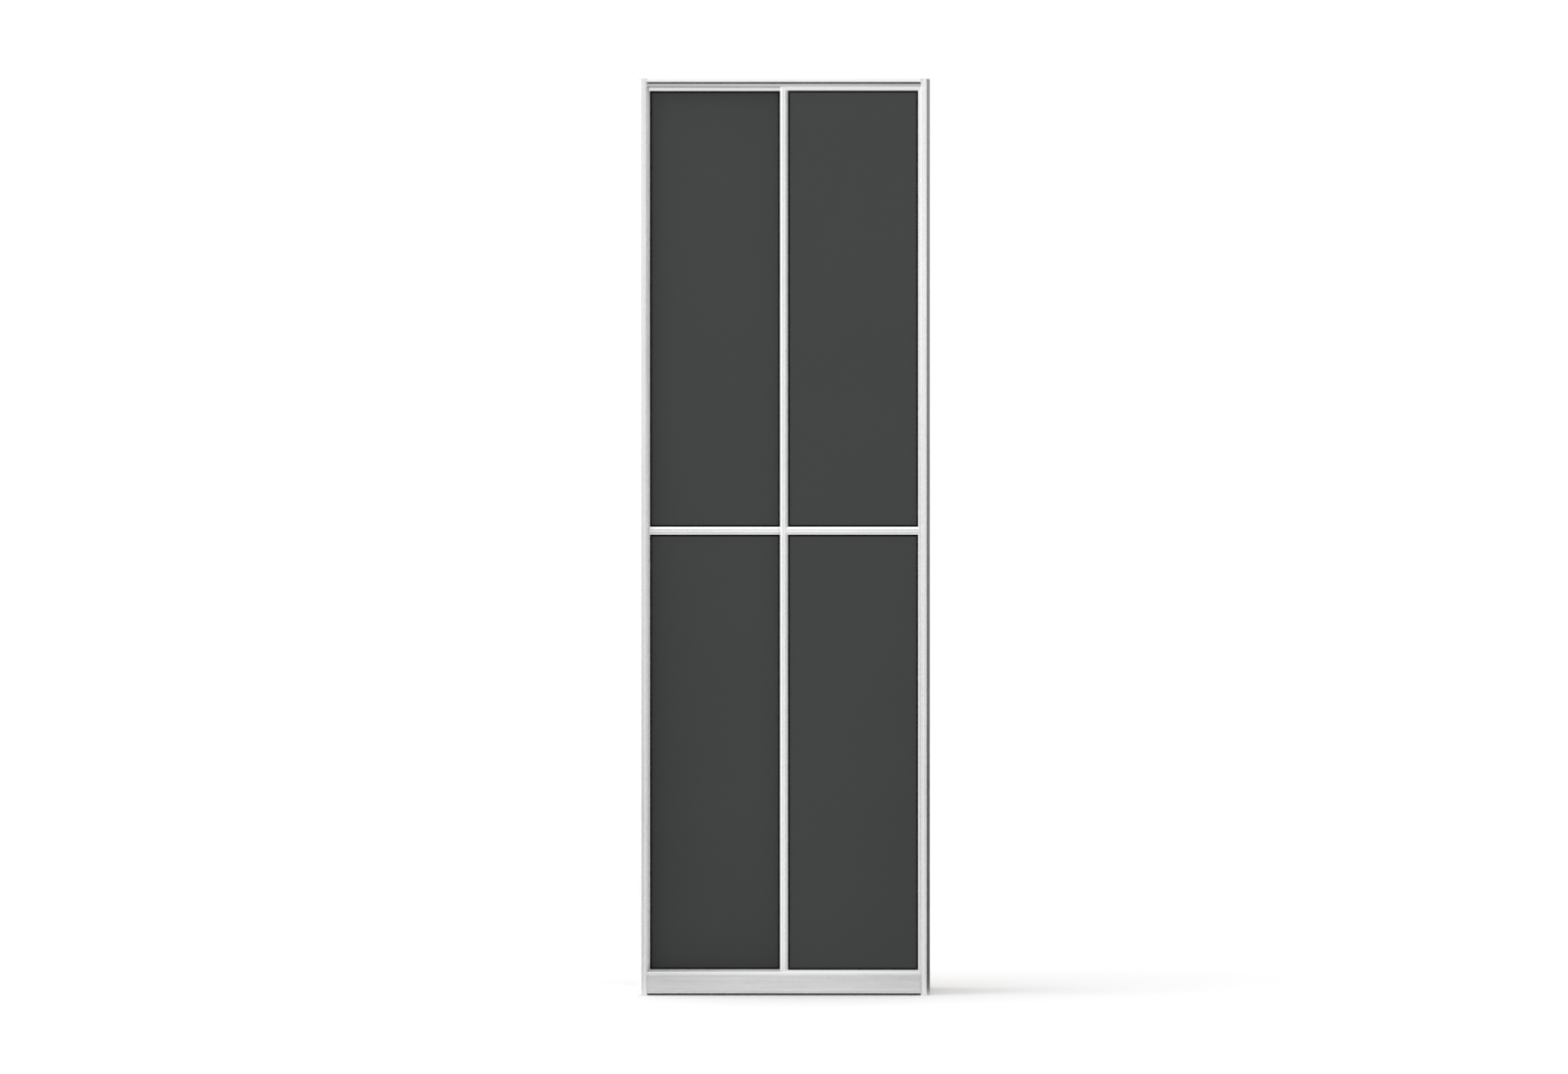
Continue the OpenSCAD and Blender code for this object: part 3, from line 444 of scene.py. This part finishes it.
EDGE_WIDTHS = {
    "anodised_aluminium": 0.18 * MM,
    "graphite_board": 0.5 * MM,
    "carcass_board": 0.5 * MM,
    "hardboard": 0.15 * MM,
    "white_plastic": 0.15 * MM,
    "grey_plastic": 0.2 * MM,
    "chromed_tube": 0.15 * MM,
    "zinc": 0.25 * MM,
    "plated_steel": 0.15 * MM,
    "beech": 0.5 * MM,
    "black_rubber": 0.2 * MM,
    "nylon": 0.2 * MM,
}

PILE_NODES = ("left_door_brush_seals", "right_door_brush_seals")
for name, node in NODES.items():
    if name in PILE_NODES:
        continue
    slot_name = node.material_slots[0].material.name.split(".")[0]
    node.material_slots[0].material = finish_for(name, slot_name)
    round_edges(node, EDGE_WIDTHS[slot_name])


# ---------- Brush pile ----------

TUFT_PITCH = 1.7 * MM
TUFT_HALF = 0.40 * MM
TUFT_TIP_HALF = 0.28 * MM
TUFT_HALF_HEIGHT = 0.62 * MM
TUFT_LENGTHS = (0.90, 0.985)
SIDE_LEAN = 0.12 * MM
UP_LEAN = 0.35 * MM
END_MARGIN = 1.0 * MM
ROW_OFFSET = 0.48 * MM
SLOT_FROM_FACE = 4.3 * MM
SLOT_FROM_EDGE = 1.2 * MM
BOX_FACES = ((0, 1, 3, 2), (4, 6, 7, 5), (0, 4, 5, 1), (2, 3, 7, 6), (0, 2, 6, 4), (1, 5, 7, 3))


def add_block(mesh, near, far):
    """Adds a closed box between two corners."""
    xs, ys, zs = zip(near, far)
    corners = [mesh.verts.new((x, y, z)) for x in xs for y in ys for z in zs]
    for face in BOX_FACES:
        mesh.faces.new([corners[i] for i in face])


def add_tuft(mesh, root, tip, side):
    """Adds one closed tuft, widest a little past its middle and tapered to its tip."""
    up = Vector((0, 0, 1))
    rings = []
    for point, half in ((root, TUFT_HALF), (root.lerp(tip, 0.6), TUFT_HALF * 1.12), (tip, TUFT_TIP_HALF)):
        across = side * half
        rise = up * TUFT_HALF_HEIGHT * (half / TUFT_HALF)
        rings.append([mesh.verts.new(point + across * a + rise * b)
                      for a, b in ((-1, -1), (1, -1), (1, 1), (-1, 1))])
    mesh.faces.new(rings[0][::-1])
    mesh.faces.new(rings[-1])
    for lower, upper in zip(rings, rings[1:]):
        for i in range(4):
            j = (i + 1) % 4
            mesh.faces.new((lower[i], lower[j], upper[j], upper[i]))


def add_pile(mesh, base, back, reach, z0, z1):
    """A woven backing with two rows of tufts. base and back are its corners in plan.

    reach is how far the tufts stand out along X and Y.
    """
    direction = Vector((*reach, 0)).normalized()
    length = Vector((*reach, 0)).length
    side = Vector((-direction.y, direction.x, 0))
    add_block(mesh, (*base, z0), (*back, z1))
    middle = Vector(((base[0] + back[0]) / 2, (base[1] + back[1]) / 2, 0))
    steps = int((z1 - z0 - 2 * END_MARGIN) / TUFT_PITCH)
    for i in range(steps):
        for row in (-1, 1):
            height = z0 + END_MARGIN + (i + (0.25 if row < 0 else 0.75)) * TUFT_PITCH
            root = middle + side * row * ROW_OFFSET + Vector((0, 0, height))
            sideways = side * random.uniform(-SIDE_LEAN, SIDE_LEAN)
            lean = sideways + Vector((0, 0, random.uniform(-UP_LEAN, UP_LEAN)))
            tip = root + direction * length * random.uniform(*TUFT_LENGTHS) + lean
            add_tuft(mesh, root, tip, side)


def edge_pile(mesh, door, sign, strip):
    """The strip in the slot down a door's outer edge."""
    near, far = strip
    stile_near, stile_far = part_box(door + "_outer_stile")
    edge_x, reach_x = (stile_far.x, far.x) if sign > 0 else (stile_near.x, near.x)
    slot_x = edge_x - sign * SLOT_FROM_EDGE
    slot_y = stile_near.y + SLOT_FROM_FACE
    half_x, half_y = 0.5 * MM, 2.2 * MM
    add_pile(mesh, (slot_x - half_x, slot_y - half_y), (slot_x + half_x, slot_y + half_y),
             (reach_x - slot_x, 0), near.z, far.z)


def meeting_pile(mesh, door, strip):
    """The strip behind the front door's meeting stile."""
    near, far = strip
    stile_near, stile_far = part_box(door + "_meeting_stile")
    middle = (stile_near.x + stile_far.x) / 2
    rear = stile_far.y
    half_x, backing, clear = 2.9 * MM, 0.9 * MM, 0.45 * MM
    add_pile(mesh, (middle - half_x, rear), (middle + half_x, rear + backing),
             (0, far.y - rear - clear), near.z, far.z)


def brush_seals(door, node_name):
    """The pile strips of one door, inside the box that the CAD strips take up."""
    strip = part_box(node_name)
    mesh = bmesh.new()
    if door == "right_door":
        edge_pile(mesh, door, 1, strip)
        meeting_pile(mesh, door, strip)
    else:
        edge_pile(mesh, door, -1, strip)
    data = bpy.data.meshes.new(door + "_pile")
    bmesh.ops.recalc_face_normals(mesh, faces=mesh.faces)
    mesh.to_mesh(data)
    mesh.free()
    piece = bpy.data.objects.new(door + "_pile", data)
    bpy.context.scene.collection.objects.link(piece)
    data.materials.append(MATERIALS["pile"])
    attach(piece, door)
    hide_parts(node_name)


for door_name, pile_node in zip(("left_door", "right_door"), PILE_NODES):
    brush_seals(door_name, pile_node)


# ---------- Floor and light ----------

FLOOR_HALF = 40.0
WORLD_TILT = (-0.46, -0.06, 0.36)
WORLD_TONES = (0.76, 0.92)
WORLD_RISE = 0.35
BACKDROP = 1.02


def build_floor():
    """A plain pale floor."""
    data = bpy.data.meshes.new("floor")
    mesh = bmesh.new()
    bmesh.ops.create_grid(mesh, x_segments=1, y_segments=1, size=FLOOR_HALF)
    mesh.to_mesh(data)
    mesh.free()
    floor = bpy.data.objects.new("floor", data)
    bpy.context.scene.collection.objects.link(floor)
    shader = Shader("pale_floor", Specular_IOR_Level=0.1)
    slow = shader.noise(1.2, 2.0)
    shader.feed("Base Color", shader.colours(slow, (0.900, 0.900, 0.900), (0.910, 0.910, 0.910)))
    shader.feed("Roughness", shader.ramp(slow, 0.75, 0.85))
    data.materials.append(shader.material)


def build_world():
    """A soft white studio: white behind, brightest from the upper left, darkest on the right."""
    world = bpy.data.worlds.new("studio")
    bpy.context.scene.world = world
    world.use_nodes = True
    tree = world.node_tree
    tree.nodes.clear()
    output = tree.nodes.new("ShaderNodeOutputWorld")
    backdrop = tree.nodes.new("ShaderNodeBackground")
    backdrop.inputs["Color"].default_value = (1, 1, 1, 1)
    backdrop.inputs["Strength"].default_value = BACKDROP
    lit = tree.nodes.new("ShaderNodeBackground")
    lit.inputs["Color"].default_value = (1, 1, 1, 1)
    paths = tree.nodes.new("ShaderNodeLightPath")
    mix = tree.nodes.new("ShaderNodeMixShader")
    coordinates = tree.nodes.new("ShaderNodeTexCoord")
    tilt = tree.nodes.new("ShaderNodeVectorMath")
    tilt.operation = "DOT_PRODUCT"
    tilt.inputs[1].default_value = WORLD_TILT
    tree.links.new(coordinates.outputs["Generated"], tilt.inputs[0])
    height = tree.nodes.new("ShaderNodeSeparateXYZ")
    tree.links.new(coordinates.outputs["Generated"], height.inputs[0])
    lift = tree.nodes.new("ShaderNodeMapRange")
    lift.interpolation_type = "SMOOTHSTEP"
    for key, value in zip(MAP_RANGE_LIMITS, (0.0, WORLD_RISE, *WORLD_TONES)):
        lift.inputs[key].default_value = value
    tree.links.new(height.outputs["Z"], lift.inputs["Value"])
    add = tree.nodes.new("ShaderNodeMath")
    add.operation = "ADD"
    tree.links.new(tilt.outputs["Value"], add.inputs[0])
    tree.links.new(lift.outputs[0], add.inputs[1])
    tree.links.new(add.outputs[0], lit.inputs["Strength"])
    tree.links.new(paths.outputs["Is Camera Ray"], mix.inputs[0])
    tree.links.new(lit.outputs[0], mix.inputs[1])
    tree.links.new(backdrop.outputs[0], mix.inputs[2])
    tree.links.new(mix.outputs[0], output.inputs["Surface"])


def softbox(name, place, aim, size, power, in_reflections):
    """A soft rectangular lamp, its width and height in metres and its power in watts."""
    data = bpy.data.lights.new(name, "AREA")
    data.shape = "RECTANGLE"
    data.size, data.size_y = size
    data.energy = power
    lamp = bpy.data.objects.new(name, data)
    lamp.location = place
    lamp.rotation_mode = "QUATERNION"
    lamp.rotation_quaternion = (Vector(aim) - Vector(place)).to_track_quat("-Z", "Y")
    lamp.visible_camera = False
    lamp.visible_glossy = in_reflections
    bpy.context.scene.collection.objects.link(lamp)


def card(name, corner, across, up, tones, heights):
    """A studio card that only reflections see: its tone runs from one height in metres to another."""
    data = bpy.data.meshes.new(name)
    mesh = bmesh.new()
    corner, across, up = Vector(corner), Vector(across), Vector(up)
    outline = (corner, corner + across, corner + across + up, corner + up)
    mesh.faces.new([mesh.verts.new(point) for point in outline])
    mesh.to_mesh(data)
    mesh.free()
    piece = bpy.data.objects.new(name, data)
    bpy.context.scene.collection.objects.link(piece)
    shader = Shader(name, Specular_IOR_Level=0.0)
    shader.principled.inputs["Base Color"].default_value = (0, 0, 0, 1)
    shader.principled.inputs["Emission Color"].default_value = (1, 1, 1, 1)
    shader.feed("Emission Strength", shader.ramp(shader.along("Z"), *tones, *heights))
    data.materials.append(shader.material)
    piece.visible_camera = False
    piece.visible_diffuse = False
    piece.visible_transmission = False
    piece.visible_shadow = False


build_floor()
build_world()

# Surfaces that face down and forward mirror this one
card("floor_card", corner=(-2.5, -0.45, 0.01), across=(5.0, 0.0, 0.0), up=(0.0, -0.45, 0.0),
     tones=(0.80, 0.80), heights=(0.0, 1.0))
# The rounded right-hand edge of the right post mirrors this one
card("right_side_card", corner=(0.46, -0.335, 0.0), across=(0.0, 0.9, 0.0), up=(0.0, 0.0, 2.6),
     tones=(0.03, 0.31), heights=(0.0, 2.2))
# These two darken the fronts of the posts towards the floor
card("right_front_card", corner=(0.22, -1.0, 0.0), across=(0.63, -0.1, 0.0), up=(0.0, 0.0, 1.5),
     tones=(0.60, 0.86), heights=(0.0, 1.5))
card("left_front_card", corner=(-0.22, -1.0, 0.0), across=(-0.9, -0.1, 0.0), up=(0.0, 0.0, 1.5),
     tones=(0.55, 0.90), heights=(0.5, 1.4))

softbox("key", place=(-1.9, -2.6, 3.6), aim=(0, -0.3, 1.5), size=(2.2, 1.6), power=16, in_reflections=True)
softbox("front", place=(-0.3, -3.2, 2.6), aim=(0, -0.3, 2.0), size=(3.0, 1.4), power=8, in_reflections=False)
